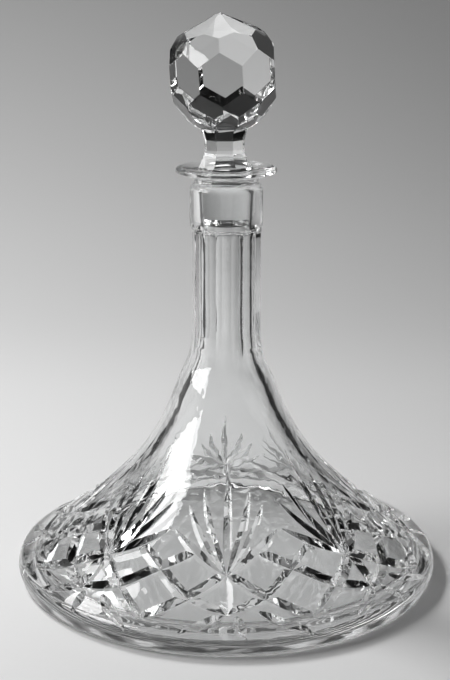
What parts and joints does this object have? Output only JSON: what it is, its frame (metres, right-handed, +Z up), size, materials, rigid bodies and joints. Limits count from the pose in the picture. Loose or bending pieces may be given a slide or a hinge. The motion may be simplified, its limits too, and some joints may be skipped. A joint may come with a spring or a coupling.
{
  "type": "ship's decanter",
  "caption": "Clear cut-crystal ship's decanter: very wide flat base, concave flare with cut fans and lattice, sliced neck, disc lip, and a faceted ball stopper that lifts out.",
  "frame": {"origin": "centre of the flat ground base, on the surface that the decanter stands on", "axes": "+Z up along the bottle's axis and the stopper's way out, -Y towards the front, where one fan of leaves faces, +X to the right"},
  "size_m": [0.21, 0.21, 0.2749],
  "materials": {
    "crystal": "polished clear lead crystal; the plug and its seat are ground matt"
  },
  "bodies": {
    "bottle": {"bottle": "crystal"},
    "stopper": {"stopper": "crystal"}
  },
  "joints": [
    {"name": "stopper_lift", "type": "slide", "parent": "bottle", "child": "stopper", "axis": [0, 0, 1], "range_m": [0, 0.045]}
  ]
}
